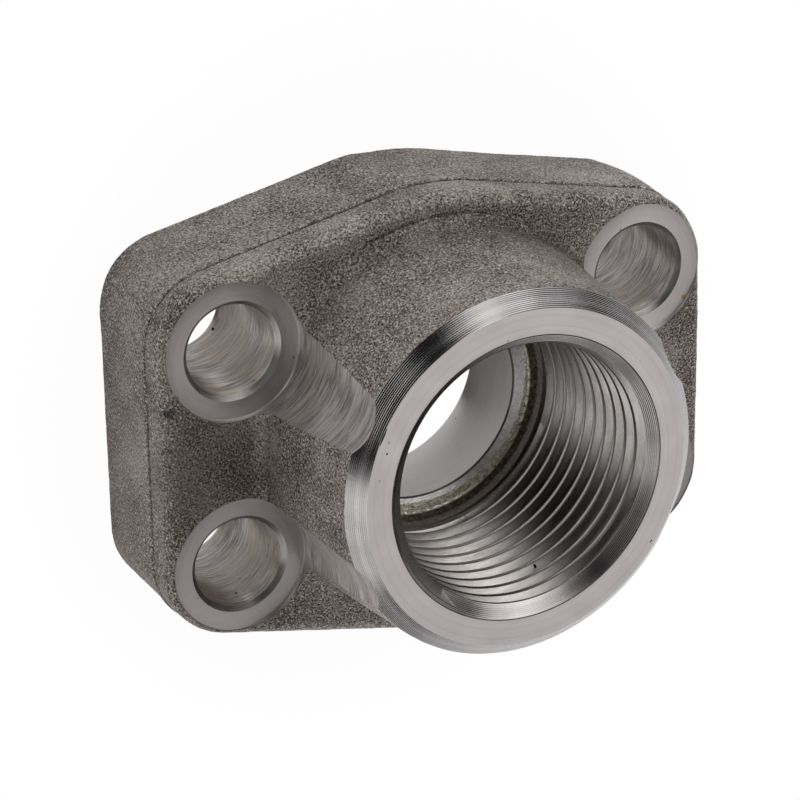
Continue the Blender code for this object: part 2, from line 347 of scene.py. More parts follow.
def machined(
    name, tone, roughness, kind, pitch, depth,
    tint=(1.0, 1.0), spread=0.12, even=0.0, pits=0.8, spots=(), warm=0.0, torn=0.0, stretch=0.0,
):
    """Bright cut steel of this tone and roughness. kind says which way the tool marks run: round
    the port on a face, round a screw on a seat, and round the wall of a bore or a hole. pitch is
    how far apart they are and depth how deep, in metres. tint gives red and blue as shares of
    green, and spread how far the colour leaves its tone. even is the share of the marks' height
    that is a regular feed, pits the share of dark pits, warm the share of brownish patches, torn
    the share of broken streaks, and stretch how far the gloss spreads across the marks."""
    material, nodes, place, shader = start_material(name)
    parts = nodes.add("ShaderNodeSeparateXYZ", {0: place}).outputs
    flat = nodes.vector("MULTIPLY", place, (1, 1, 0))
    radius = nodes.vector("LENGTH", flat)
    if kind in ("hole", "seat"):
        folded = nodes.vector("ABSOLUTE", flat)
        local = nodes.vector("SUBTRACT", folded, (BOLT_X, BOLT_Y, 0))
        side = nodes.vector("SIGN", flat)
        lot = nodes.vector("DOT_PRODUCT", side, HOLE_LOT)
        around = nodes.vector("LENGTH", local)
        tilt = nodes.vector("DOT_PRODUCT", local, HOLE_TILT)
        along = around if kind == "seat" else nodes.math("ADD", parts[2], tilt)
        along = nodes.math("ADD", along, lot)
        across = nodes.vector("MULTIPLY", local, side)
    elif kind == "face":
        along = radius
        across = flat
    else:
        along = parts[2]
    if kind in ("hole", "bore"):
        across = nodes.add("ShaderNodeCombineXYZ", {"Z": 1.0}).outputs[0]
    wander = nodes.noise(place, 420, 2)
    wavy = nodes.math("MULTIPLY_ADD", wander, pitch * 0.5, along)
    marks = nodes.rings(wavy, 1 / pitch, 3)
    if even:
        feed = nodes.math("SINE", nodes.math("MULTIPLY", along, 2 * pi / pitch))
        marks = nodes.math("MULTIPLY", marks, 1 - even)
        marks = nodes.math("MULTIPLY_ADD", feed, even * 0.5, marks)
    broad = nodes.rings(wavy, 0.16 / pitch, 2)
    cloud = nodes.noise(place, 240, 3)
    pale = grey(min(1.0, tone * (1 + spread)), *tint)
    dark = grey(tone * (1 - spread), *tint)
    shade = nodes.math("MULTIPLY_ADD", broad, 0.5, nodes.math("MULTIPLY", cloud, 0.5))
    if torn:
        thin = nodes.math("MULTIPLY", along, 12)
        grid = nodes.add("ShaderNodeCombineXYZ", {"X": parts[0], "Y": parts[1], "Z": thin})
        streaks = nodes.noise(grid.outputs[0], 0.1 / pitch, 4, 0.65)
        shade = nodes.math("MULTIPLY", shade, 1 - torn)
        shade = nodes.math("MULTIPLY_ADD", streaks, torn, shade)
        marks = nodes.math("MULTIPLY_ADD", streaks, 2 * torn, marks)
    colour = nodes.mix(nodes.ramp(shade, 0.35, 0.65), dark, pale)
    if warm:
        patch = nodes.math("MULTIPLY", nodes.ramp(nodes.noise(place, 150, 2), 0.35, 0.65), warm)
        colour = nodes.mix(patch, colour, grey(tone * 0.9, 1.16, 0.8))
    # Painted shade: on seats and hole chamfers, the side toward -Y is darker
    if kind == "seat":
        painted_dark_side = nodes.ramp(parts[1], 0.004, -0.004, 0.0, 0.3)
        colour = nodes.mix(painted_dark_side, colour, grey(0.08, 1.1, 0.95))
    if pits:
        pit = nodes.grains(place, 420).outputs["Distance"]
        pit = nodes.math("MULTIPLY", nodes.ramp(pit, 0.07, 0.03), pits)
        colour = nodes.mix(pit, colour, grey(0.05))
    if spots:
        colour = stained(nodes, place, colour, spots)
    if stretch:
        turned = nodes.add(
            "ShaderNodeVectorTransform", {0: across}, vector_type="VECTOR",
            convert_from="OBJECT", convert_to="WORLD",
        )
        nodes.tree.links.new(turned.outputs[0], shader.inputs["Tangent"])
        shader.inputs["Anisotropic"].default_value = stretch
    rough = nodes.ramp(shade, 0.25, 0.75, roughness * 0.8, roughness * 1.2)
    finish_material(nodes, shader, colour, rough, marks, depth)
    return material


def thread_steel():
    """The tapped thread: torn and pitted on its crests, brownish, with streaks along the turn."""
    material, nodes, place, shader = start_material("thread")
    parts = nodes.add("ShaderNodeSeparateXYZ", {0: place}).outputs
    tears = nodes.noise(nodes.vector("MULTIPLY", place, (1, 1, 12)), 1300, 3, 0.65)
    streak = nodes.rings(nodes.math("MULTIPLY_ADD", tears, 0.00006, parts[2]), 9000, 3)
    cloud = nodes.noise(nodes.vector("MULTIPLY", place, (1, 1, 14)), 300, 3)
    shade = nodes.math("MULTIPLY_ADD", tears, 0.5, nodes.math("MULTIPLY", cloud, 0.5))
    dark, pale = grey(0.33, 1.08, 0.93), grey(0.43, 1.05, 0.97)
    colour = nodes.mix(nodes.ramp(shade, 0.3, 0.65), dark, pale)
    pit = nodes.ramp(nodes.noise(place, 2600, 2, 0.7), 0.68, 0.76, 0.0, 0.6)
    colour = nodes.mix(pit, colour, grey(0.03, 1.2, 0.8))
    colour = stained(nodes, place, colour, (THREAD_STAIN,))
    height = nodes.math("MULTIPLY_ADD", tears, 1.4, nodes.math("MULTIPLY", streak, 0.8))
    roughness = nodes.ramp(shade, 0.3, 0.7, 0.34, 0.26)
    finish_material(nodes, shader, colour, roughness, height, 0.000008)
    return material


def ledge_steel():
    """The drill-point shoulder below the thread: grey at the bore, grainy and golden outside."""
    material, nodes, place, shader = start_material("ledge")
    radius = nodes.vector("LENGTH", nodes.vector("MULTIPLY", place, (1, 1, 0)))
    grain = nodes.grains(place, 4800)
    cloud = nodes.noise(place, 2600, 3)
    outer = nodes.math("MULTIPLY_ADD", cloud, 0.0008, nodes.math("SUBTRACT", radius, 0.0004))
    low = nodes.vector("DOT_PRODUCT", place, (-0.01, -0.04, 0))
    outer = nodes.ramp(nodes.math("ADD", outer, low), BORE_RADIUS + 0.0011, BORE_RADIUS + 0.0016)
    steel = nodes.mix(nodes.ramp(cloud, 0.3, 0.7), grey(0.42, 1.04, 0.98), grey(0.58, 1.04, 1.0))
    dark, pale = grey(0.5, 1.16, 0.76), grey(0.95, 1.05, 0.82)
    golden = nodes.mix(nodes.ramp(cloud, 0.35, 0.65), dark, pale)
    colour = nodes.mix(outer, steel, golden)
    height = nodes.math("MULTIPLY_ADD", grain.outputs["Distance"], -0.7, cloud)
    height = nodes.math("MULTIPLY", height, nodes.ramp(outer, 0, 1, 0.1, 1.0))
    finish_material(nodes, shader, colour, nodes.ramp(outer, 0, 1, 0.32, 0.45), height, 0.00012)
    return material


def burr_steel():
    """The thin raised edge round the shoulder, pale and broken."""
    material, nodes, place, shader = start_material("burr")
    breaks = nodes.noise(place, 1500, 3, 0.6)
    colour = nodes.mix(nodes.ramp(breaks, 0.35, 0.55), grey(0.2, 1.2, 0.8), grey(0.85, 1.05, 0.88))
    finish_material(nodes, shader, colour, nodes.ramp(breaks, 0, 1, 0.3, 0.4), breaks, 0.00012)
    return material


def relief_steel():
    """The turned groove between the shoulder and the thread, with painted shade in its bottom
    corner.
    """
    material, nodes, place, shader = start_material("relief")
    parts = nodes.add("ShaderNodeSeparateXYZ", {0: place}).outputs
    relief_streaks = nodes.noise(nodes.vector("MULTIPLY", place, (1, 1, 3)), 2400, 3, 0.6)
    rise = nodes.math("MULTIPLY_ADD", relief_streaks, 0.0006, parts[2])
    above_corner_shade = nodes.ramp(rise, PILOT_FLOOR + 0.0002, PILOT_FLOOR + 0.0008)
    # Painted shade darkens the groove's bottom corner
    painted_corner_shade = nodes.mix(nodes.ramp(relief_streaks, 0.35, 0.7), grey(0.12, 1.25, 0.74), grey(0.26, 1.15, 0.8))
    steel = nodes.mix(nodes.ramp(relief_streaks, 0.3, 0.65), grey(0.34, 1.12, 0.86), grey(0.58, 1.06, 0.94))
    colour = nodes.mix(above_corner_shade, painted_corner_shade, steel)
    finish_material(nodes, shader, colour, nodes.ramp(above_corner_shade, 0, 1, 0.6, 0.4), relief_streaks, 0.00003)
    return material


def make_materials():
    """One material for each surface, in the order of ZONES."""
    made = {
        "forged_skin": forged_skin(),
        "end_face": machined(
            "end_face", 0.42, 0.34, "face", 0.00016, 0.000006, (1.08, 1.0), 0.05, pits=0.6
        ),
        "end_chamfer": machined(
            "end_chamfer", 0.38, 0.19, "bore", 0.00016, 0.000016, (1.04, 1.0), even=0.65, pits=0,
            stretch=0.5,
        ),
        "back_face": machined("back_face", 0.4, 0.3, "face", 0.00025, 0.00001),
        "mouth": machined(
            "mouth", 0.37, 0.19, "face", 0.00018, 0.00002, (1.07, 1.0), even=0.75, pits=0,
            stretch=0.5,
        ),
        "thread": thread_steel(),
        "relief": relief_steel(),
        "ledge": ledge_steel(),
        "burr": burr_steel(),
        "bore": machined(
            "bore", 0.52, 0.32, "bore", 0.0004, 0.000008, (1.05, 1.0), 0.08, torn=0.4, stretch=1.0
        ),
        "hole_wall": machined(
            "hole_wall", 0.52, 0.38, "hole", 0.0003, 0.00002, (1.06, 0.99), 0.65, warm=0.5,
            torn=0.75, stretch=1.0,
        ),
        "hole_chamfer": machined(
            "hole_chamfer", 0.33, 0.38, "seat", 0.00012, 0.00001, (1.05, 0.97), 0.3, torn=0.5
        ),
        "seat": machined(
            "seat", 0.42, 0.42, "seat", 0.0002, 0.00001, (1.08, 0.98), 0.12, torn=0.4, stretch=0.5,
            spots=(RED_SPOT, ORANGE_SPOT),
        ),
        "scallop": machined(
            "scallop", 0.36, 0.5, "hole", 0.0003, 0.00002, (1.07, 0.98), 0.5, warm=0.3,
            torn=0.7, stretch=0.8,
        ),
        "groove": machined("groove", 0.4, 0.3, "face", 0.0002, 0.00001),
        "pit": machined("pit", 0.06, 0.6, "bore", 0.0003, 0.00002, (1.2, 0.75)),
        "lip": machined("lip", 0.2, 0.5, "bore", 0.0004, 0.00002, (1.15, 0.85), 0.5, torn=0.6),
    }
    return [made[name] for name in ZONES]


# The outline of the plate, as in the CAD source: a waist arc, corner arcs and tangents


def clamp(value):
    return min(1, max(0, value))


def outline_radius(angle, inset):
    """The distance from the bore axis to the outline, moved in by inset."""
    angle = atan2(abs(sin(angle)), abs(cos(angle)))
    radius = CORNER_RADIUS - inset
    side_end = atan2(BOLT_Y, BOLT_X + radius)
    tangent_end = atan2(
        BOLT_Y + radius * sin(TANGENT_ANGLE), BOLT_X + radius * cos(TANGENT_ANGLE)
    )
    if angle <= side_end:
        return (BOLT_X + radius) / cos(angle)
    if angle <= tangent_end:
        along = BOLT_X * cos(angle) + BOLT_Y * sin(angle)
        across = BOLT_X * sin(angle) - BOLT_Y * cos(angle)
        return along + sqrt(radius**2 - across**2)
    if angle <= TANGENT_ANGLE:
        return (WAIST_RADIUS - inset) / cos(angle - TANGENT_ANGLE)
    return WAIST_RADIUS - inset


def even_angles(count):
    """Polar angles of points at equal steps along the outline."""
    angles = np.linspace(0, 2 * pi, OUTLINE_SAMPLES)
    radii = np.array([outline_radius(angle, 0) for angle in angles])
    points = np.stack([radii * np.cos(angles), radii * np.sin(angles)], 1)
    lengths = np.linalg.norm(np.diff(points, axis=0), axis=1)
    reached = np.concatenate([[0], np.cumsum(lengths)])
    return np.interp(np.arange(count) * reached[-1] / count, reached, angles)


def rim_inset(height):
    """How far the drafted rim stands in at this height."""
    return height * tan(RIM_DRAFT)


def rim_rows():
    """(inset, height) up the rim and round its front edge, close together at the parting."""
    arc_foot = PLATE_THICKNESS - EDGE_ROUND
    ends = (-STOCK, PARTING_HEIGHT - FLASH_WIDTH, PARTING_HEIGHT + FLASH_WIDTH, arc_foot)
    heights = []
    for low, high, steps in zip(ends, ends[1:], RIM_STEPS):
        heights += list(np.linspace(low, high, steps + 1)[:-1])
    rows = []
    for height in heights:
        away = abs(height - PARTING_HEIGHT) / (FLASH_WIDTH / 2)
        ridge = FLASH_PROUD * clamp(2 - 2 * away)
        rows.append((rim_inset(height) - ridge, height))
    start = rim_inset(arc_foot)
    for turn in np.linspace(0, pi / 2, EDGE_STEPS + 1):
        inset = start + (EDGE_ROUND - start) * (1 - cos(turn))
        rows.append((inset, PLATE_THICKNESS - EDGE_ROUND * (1 - sin(turn))))
    return rows


def front_rows(angle):
    """(radius, height) across the plate's front, up the foot fillet and up the boss."""
    start = outline_radius(angle, EDGE_ROUND)
    shelf = start - FOOT_RADIUS
    turn_whole = pi / 2 - BOSS_DRAFT
    # The fillet's own radius, or less where the shelf leaves no room for it
    fillet = (FOOT_FILLET**-4 + (shelf / tan(turn_whole / 2)) ** -4) ** -0.25
    centre_radius = FOOT_RADIUS + fillet * tan(turn_whole / 2)
    centre_height = PLATE_THICKNESS + fillet
    rows = []
    for step in range(1, FRONT_STEPS):
        rows.append((start + (centre_radius - start) * step / FRONT_STEPS, PLATE_THICKNESS))
    for turn in np.linspace(0, turn_whole, FILLET_STEPS + 1):
        rows.append((centre_radius - fillet * sin(turn), centre_height - fillet * cos(turn)))
    low_radius, low_height = rows[-1]
    high = OVERALL_HEIGHT + STOCK
    high_radius = BOSS_RADIUS - (high - BOSS_TOP) * tan(BOSS_DRAFT)
    for step in range(1, BOSS_STEPS + 1):
        share = step / BOSS_STEPS
        rows.append((
            low_radius + (high_radius - low_radius) * share,
            low_height + (high - low_height) * share,
        ))
    return rows


# The forged skin


def window(value, start, full, fade, end):
    """Rises smoothly from start to full, stays at one, and falls from fade to end."""
    share = min(clamp((value - start) / (full - start)), clamp((end - value) / (end - fade)))
    return share * share * (3 - 2 * share)


def bell(away):
    """One at zero, and next to nothing from three on."""
    return 2.718 ** -(away**2)


def bulge(angle, height):
    """How far the rim stands out of its nominal outline at two uneven corners."""
    angle = (angle % (2 * pi)) * 180 / pi
    behind = clamp(1 - height / PARTING_HEIGHT)
    middle = sin(pi * clamp(height / PARTING_HEIGHT))
    dent = window(height, *DENT_HEIGHTS) * window(angle, *DENT_ANGLES)
    back_left = sum(depth * window(angle, *angles) for depth, angles in BACK_LEFT_BULGES)
    back_right = BACK_RIGHT_OUT * middle - BACK_RIGHT_IN * behind
    back_right = window(angle, *BACK_RIGHT_ANGLES) * back_right
    return behind * back_left + back_right - DENT_DEPTH * dent


def foot_crease(place):
    """How deep the ragged fold is where the boss's foot meets the plate's far edge."""
    angle = atan2(place.y, place.x) - CREASE_ANGLE
    share = window(angle, *CREASE_SPAN)
    ragged = CREASE_RAGGED * noise.noise(place * 500)
    away = hypot(place.x, place.y) - CREASE_RADIUS + CREASE_CURVE * angle**2 - ragged
    deep = CREASE_DEPTH + CREASE_DEPTH * noise.noise(place * 350 + Vector((3, 8, 1)))
    return share * deep * bell(away / CREASE_WIDTH)


def skin_depth(point):
    """How far the uneven skin lies under the die's shape at this point, in metres. A number
    times the place is how many cells of noise go to a metre, and what is added a shift."""
    place = Vector(point)
    waves = noise.noise(place * 130) * 0.5 + 0.5
    lumps = noise.noise(place * 420 + Vector((5, 1, 3))) * 0.5 + 0.5
    dimples = noise.voronoi(place * 900)[0][0]
    depth = WAVE_DEPTH * waves + LUMP_DEPTH * lumps + DIMPLE_DEPTH * max(0, 1 - 1.6 * dimples)
    wander = SEAM_WANDER * noise.noise(place * 260)
    from_seam = (place.z - SEAM_HEIGHT - wander) / SEAM_HALF_WIDTH
    if abs(from_seam) < 3 and hypot(place.x, place.y) > BOSS_RADIUS:
        broken = noise.noise(place * 300 + Vector((9, 2, 7))) * 0.5 + 0.5
        share = SEAM_SHARE_LEFT if place.x < -BOLT_X - 0.005 else SEAM_SHARE
        depth += share * (SEAM_DEPTH_LEAST + SEAM_DEPTH_VARIES * broken) * bell(from_seam)
    if place.y > 0 and abs(place.z - PLATE_THICKNESS) < CREASE_REACH:
        depth += foot_crease(place)
    return depth


def new_object(name, points, faces, zones, materials):
    """An object from points and faces, with the index of each face's surface in zones."""
    mesh = bpy.data.meshes.new(name)
    mesh.from_pydata([tuple(point) for point in points], [], faces)
    for material in materials:
        mesh.materials.append(material)
    mesh.polygons.foreach_set("material_index", zones)
    mesh.update()
    made = bpy.data.objects.new(name, mesh)
    bpy.context.scene.collection.objects.link(made)
    return made


def make_forging(materials):
    """The body before any machining, a little taller than the finished part at both ends."""
    rim = rim_rows()
    columns = []
    for angle in even_angles(SKIN_COLUMNS):
        profile = [
            (outline_radius(angle, inset) + bulge(angle, height), height) for inset, height in rim
        ]
        profile += front_rows(angle)
        columns.append([(r * cos(angle), r * sin(angle), z) for r, z in profile])
    grid = np.array(columns)
    around = np.roll(grid, -1, 0) - np.roll(grid, 1, 0)
    along = np.gradient(grid, axis=1)
    normals = np.cross(around, along)
    normals /= np.linalg.norm(normals, axis=2, keepdims=True)
    points, normals = grid.reshape(-1, 3), normals.reshape(-1, 3)
    depths = np.array([skin_depth(point) for point in points])
    points = points - normals * depths[:, None]
    count, rows = grid.shape[:2]
    faces = []
    for column in range(count):
        following = (column + 1) % count
        for row in range(rows - 1):
            a, b = column * rows + row, following * rows + row
            faces.append((a, b, b + 1, a + 1))
    faces.append([column * rows for column in reversed(range(count))])
    faces.append([column * rows + rows - 1 for column in range(count)])
    zones = [ZONE["forged_skin"]] * len(faces)
    return new_object("flange_body_dressed", points, faces, zones, materials)


# The cutting tools


def make_turned_tool(name, profile, zones, steps, materials, place=(0, 0), phase=0.0):
    """A closed solid turned round a vertical axis. zones names the surface of each step, and
    phase turns the facets by a share of one step, off the facets of another tool."""
    points, rings = [], []
    for radius, height in profile:
        if radius == 0:
            rings.append([len(points)] * steps)
            points.append((place[0], place[1], height))
            continue
        rings.append([len(points) + step for step in range(steps)])
        for step in range(steps):
            turn = 2 * pi * (step + phase) / steps
            points.append((place[0] + radius * cos(turn), place[1] + radius * sin(turn), height))
    faces, indices = [], []
    for low, high, zone in zip(rings, rings[1:], zones):
        for step in range(steps):
            following = (step + 1) % steps
            corners = [low[step], low[following], high[following], high[step]]
            face = list(dict.fromkeys(corners))
            if len(face) > 2:
                faces.append(face)
                indices.append(ZONE[zone])
    return new_object(name, points, faces, indices, materials)


def port_tool(materials):
    """The bore, the shoulder, the relief, the thread's crests and the mouth in one tool."""
    top = OVERALL_HEIGHT + OVERRUN
    shoulder = OVERALL_HEIGHT - PORT_DEPTH
    mouth_floor = OVERALL_HEIGHT - (MOUTH_RADIUS - CREST_RADIUS) / MOUTH_FLARE
    profile = [
        (0, -OVERRUN),
        (BORE_RADIUS + BORE_EDGE_BREAK + OVERRUN, -OVERRUN),
        (BORE_RADIUS, BORE_EDGE_BREAK),
        (BORE_RADIUS, shoulder - BORE_LIP_DROP),
        (BORE_RADIUS + BORE_LIP_WIDTH, shoulder + BORE_LIP_RISE),
        (PILOT_RADIUS - BURR_WIDTH, PILOT_FLOOR - BURR_WIDTH / PILOT_SLOPE),
        (PILOT_RADIUS - BURR_TOP_WIDTH, PILOT_FLOOR + BURR_RISE),
        (PILOT_RADIUS + BURR_OUTER, PILOT_FLOOR),
        (CREST_RADIUS - WALL_FOOT_IN, PILOT_FLOOR),
        (CREST_RADIUS + WALL_FOOT_OUT, PILOT_FLOOR + WALL_FOOT_RISE),
        (RELIEF_RADIUS - RELIEF_SHY, RELIEF_TOP - RELIEF_EDGE),
        (RELIEF_RADIUS - RELIEF_SHY, RELIEF_TOP),
        (CREST_RADIUS, RELIEF_TOP + (RELIEF_RADIUS - CREST_RADIUS) / 2),
        (CREST_RADIUS, mouth_floor),
        (MOUTH_RADIUS - MOUTH_LIP, OVERALL_HEIGHT - MOUTH_LIP / MOUTH_FLARE),
        (MOUTH_RADIUS - MOUTH_LIP_HALF, OVERALL_HEIGHT - MOUTH_LIP_FOOT),
        (MOUTH_RADIUS, OVERALL_HEIGHT - MOUTH_LIP),
        (MOUTH_RADIUS + MOUTH_LIP_HALF, OVERALL_HEIGHT + MOUTH_LIP),
        (MOUTH_RADIUS + MOUTH_OPENING, top),
        (0, top),
    ]
    zones = (
        "bore", "bore", "bore", "lip", "ledge", "burr", "burr", "relief", "relief", "relief",
        "relief", "relief", "thread", "mouth", "lip", "lip", "lip", "mouth", "mouth",
    )
    return make_turned_tool("port_tool", profile, zones, TURNED_STEPS, materials)


def thread_section():
    """(height, radius) over one pitch of the pipe thread, from one crest to the next."""
    arc_centre = THREAD_MAJOR_RADIUS - ROOT_ROUND
    arc_end = radians(62.5)
    flank_height = ROOT_ROUND * sin(arc_end)
    flank_radius = arc_centre + ROOT_ROUND * cos(arc_end)
    edge_radius = CREST_RADIUS + CREST_EDGE_RISE
    edge_height = flank_height + (flank_radius - edge_radius) * FLANK_SLOPE
    half = [(edge_height + CREST_EDGE_RUN, CREST_RADIUS), (edge_height, edge_radius)]
    for turn in (arc_end, arc_end / 2):
        half.append((ROOT_ROUND * sin(turn), arc_centre + ROOT_ROUND * cos(turn)))
    section = [(-height, radius) for height, radius in half]
    section.append((0, THREAD_MAJOR_RADIUS))
    return section + half[::-1]


def thread_tool(materials):
    """A right-handed screw with the thread's own shape, cut off inside the relief."""
    section = thread_section()
    size = len(section)
    low = PILOT_FLOOR + THREAD_START_GAP + (CREST_WIDTH - THREAD_PITCH) / 2 - THREAD_PITCH
    turns = int((OVERALL_HEIGHT + OVERRUN - low) / THREAD_PITCH) + 2
    points = []
    for step in range(turns * THREAD_STEPS + 1):
        turn = THREAD_START_ANGLE + 2 * pi * step / THREAD_STEPS
        for height, radius in section:
            z = low + THREAD_PITCH * step / THREAD_STEPS + height
            points.append((radius * cos(turn), radius * sin(turn), z))
    faces = []
    last = turns * THREAD_STEPS - THREAD_STEPS

    def corner(step, row):
        """The point of this row, or of the first row one turn on, where the turns meet."""
        return (step + THREAD_STEPS) * size if row == size else step * size + row

    for step in range(last):
        for row in range(size):
            faces.append((
                corner(step, row), corner(step + 1, row),
                corner(step + 1, row + 1), corner(step, row + 1),
            ))
    for first, flip in ((0, True), (last, False)):
        loop = [corner(first + step, 0) for step in range(THREAD_STEPS + 1)]
        loop += [corner(first, row) for row in range(size - 1, 0, -1)]
        centre = len(points)
        points.append((0, 0, points[loop[0]][2]))
        for a, b in zip(loop, loop[1:] + loop[:1]):
            faces.append((b, a, centre) if flip else (a, b, centre))
    used = sorted({index for face in faces for index in face})
    order = {index: place for place, index in enumerate(used)}
    faces = [[order[index] for index in face] for face in faces]
    points = [points[index] for index in used]
    zones = [ZONE["thread"]] * len(faces)
    screw = new_object("thread_tool", points, faces, zones, materials)
    floor = RELIEF_TOP - RELIEF_HEIGHT / 2
    top = OVERALL_HEIGHT + STOCK
    slab = [(0, floor), (CLEAR_OF_PORT, floor), (CLEAR_OF_PORT, top), (0, top)]
    limit = make_turned_tool("thread_limit", slab, ["thread"] * 3, PLAIN_STEPS, materials)
    cut_with(screw, limit, "INTERSECT")
    return screw


def facing_tool(materials):
    """What turning takes off the end of the boss: its end face and its outer chamfer."""
    top = OVERALL_HEIGHT + OVERRUN
    drop = CLEAR_OF_BOSS - END_RADIUS
    profile = [
        (0, OVERALL_HEIGHT),
        (END_RADIUS, OVERALL_HEIGHT),
        (CLEAR_OF_BOSS, OVERALL_HEIGHT - drop),
        (CLEAR_OF_BOSS, top),
        (0, top),
    ]
    zones = ("end_face", "end_chamfer", "end_face", "end_face")
    return make_turned_tool("facing_tool", profile, zones, TURNED_STEPS, materials, phase=0.5)


def back_tool(materials):
    """What milling takes off the back of the plate."""
    low = -CLEAR_OF_BACK
    profile = [(0, low), (CLEAR_OF_PART, low), (CLEAR_OF_PART, 0), (0, 0)]
    zones = ["back_face"] * 3
    return make_turned_tool("back_tool", profile, zones, PLAIN_STEPS, materials, phase=0.37)


def groove_tool(materials):
    profile = [
        (GROOVE_INNER, -OVERRUN),
        (GROOVE_OUTER, -OVERRUN),
        (GROOVE_OUTER, GROOVE_DEPTH),
        (GROOVE_INNER, GROOVE_DEPTH),
    ]
    return make_ring_tool("groove_tool", profile, "groove", materials)


def make_ring_tool(name, profile, zone, materials):
    """A ring whose section is the closed profile."""
    points, faces = [], []
    size = len(profile)
    for step in range(TURNED_STEPS):
        turn = 2 * pi * step / TURNED_STEPS
        points += [(r * cos(turn), r * sin(turn), z) for r, z in profile]
    for step in range(TURNED_STEPS):
        following = (step + 1) % TURNED_STEPS
        for row in range(size):
            above = (row + 1) % size
            faces.append((
                step * size + row, following * size + row,
                following * size + above, step * size + above,
            ))
    return new_object(name, points, faces, [ZONE[zone]] * len(faces), materials)


def bolt_tool(place, materials):
    """One screw hole with its chamfers, its faced seat and the scallop above the seat."""
    top = OVERALL_HEIGHT + OVERRUN
    profile = [
        (0, -OVERRUN),
        (HOLE_RADIUS + HOLE_BACK_CHAMFER + OVERRUN, -OVERRUN),
        (HOLE_RADIUS, HOLE_BACK_CHAMFER),
        (HOLE_RADIUS, SEAT_HEIGHT - HOLE_CHAMFER),
        (HOLE_RADIUS + HOLE_CHAMFER, SEAT_HEIGHT),
        (SEAT_RADIUS - SEAT_ROUND, SEAT_HEIGHT),
        (SEAT_RADIUS - SEAT_ROUND_MIDDLE, SEAT_HEIGHT + SEAT_ROUND_MIDDLE),
        (SEAT_RADIUS, SEAT_HEIGHT + SEAT_ROUND),
        (SEAT_RADIUS, top),
        (0, top),
    ]
    zones = (
        "hole_chamfer", "hole_chamfer", "hole_wall", "hole_chamfer", "seat", "seat", "seat",
        "scallop", "scallop",
    )
    return make_turned_tool("bolt_tool", profile, zones, HOLE_STEPS, materials, place)


# Nicks and pits: (place, half length round the axis, half width along the radius, half height)
MARKS = (
    ((-0.01792, 0.0089, 0.037), (0.0011, 0.00011, 0.00016)),
    ((-0.01753, 0.00683, 0.037), (0.00014, 0.00011, 0.0001)),
    ((-0.01072, 0.01979, 0.037), (0.0001, 0.00008, 0.0001)),
    ((0.01601, -0.01123, 0.037), (0.00022, 0.00008, 0.0001)),
    ((0.00465, -0.01531, 0.01446), (0.0004, 0.0005, 0.00022)),
    ((0.00498, -0.01522, 0.01425), (0.00022, 0.0005, 0.00018)),
    ((0.0042, -0.01546, 0.01462), (0.0002, 0.0005, 0.00012)),
    ((0.00493, -0.01494, 0.0297), (0.00017, 0.0005, 0.00015)),
    ((-0.02199, 0.00972, 0.00139), (0.0002, 0.0002, 0.00035)),
    ((-0.02539, -0.01844, 0.01309), (0.00016, 0.00016, 0.00022)),
)


def mark_tool(place, half_sizes, materials):
    """An ellipsoid with one axis upright and one along the turning."""
    angle = atan2(place[1], place[0])
    along, outward = Vector((-sin(angle), cos(angle), 0)), Vector((cos(angle), sin(angle), 0))
    points, faces = [], []
    for row in range(1, MARK_ROWS):
        rise = pi * row / MARK_ROWS
        for step in range(MARK_STEPS):
            turn = 2 * pi * step / MARK_STEPS
            wide = sin(rise)
            point = Vector(place) + along * (half_sizes[0] * wide * cos(turn))
            point += outward * (half_sizes[1] * wide * sin(turn))
            points.append(point + Vector((0, 0, half_sizes[2] * cos(rise))))
    low, high = len(points), len(points) + 1
    points += [Vector(place) + Vector((0, 0, side * half_sizes[2])) for side in (-1, 1)]
    last = (MARK_ROWS - 2) * MARK_STEPS
    for step in range(MARK_STEPS):
        following = (step + 1) % MARK_STEPS
        faces.append((step, high, following))
        faces.append((last + step, last + following, low))
        for start in range(0, last, MARK_STEPS):
            a, b = start + step, start + following
            faces.append((a, b, b + MARK_STEPS, a + MARK_STEPS))
    return new_object("mark_tool", points, faces, [ZONE["pit"]] * len(faces), materials)


def cut_with(body, tool, operation="DIFFERENCE"):
    """Lets the tool cut the body, which settle then does."""
    cut = body.modifiers.new(tool.name, "BOOLEAN")
    cut.operation = operation
    cut.solver = "MANIFOLD"
    cut.object = tool
    tool.hide_render = True


def settle(body):
    """Replaces the body's mesh by what its modifiers make, and deletes their tools."""
    tools = [modifier.object for modifier in body.modifiers]
    view = bpy.context.evaluated_depsgraph_get()
    mesh = bpy.data.meshes.new_from_object(body.evaluated_get(view))
    body.modifiers.clear()
    body.data = mesh
    for tool in tools:
        bpy.data.objects.remove(tool)


def shade(body):
    """Smooth shading, with an edge left sharp where it is steep or two surfaces meet."""
    mesh = body.data
    mesh.shade_smooth()
    mesh.set_sharp_from_angle(angle=SMOOTH_ANGLE)
    corner_edges = np.zeros(len(mesh.loops), int)
    mesh.loops.foreach_get("edge_index", corner_edges)
    zones = np.zeros(len(mesh.polygons), int)
    sizes = np.zeros(len(mesh.polygons), int)
    mesh.polygons.foreach_get("material_index", zones)
    mesh.polygons.foreach_get("loop_total", sizes)
    corner_zones = np.repeat(zones, sizes)
    low = np.full(len(mesh.edges), len(ZONES))
    high = np.full(len(mesh.edges), -1)
    np.minimum.at(low, corner_edges, corner_zones)
    np.maximum.at(high, corner_edges, corner_zones)
    attribute = mesh.attributes["sharp_edge"]
    sharp = np.zeros(len(mesh.edges), bool)
    attribute.data.foreach_get("value", sharp)
    attribute.data.foreach_set("value", sharp | (low != high))


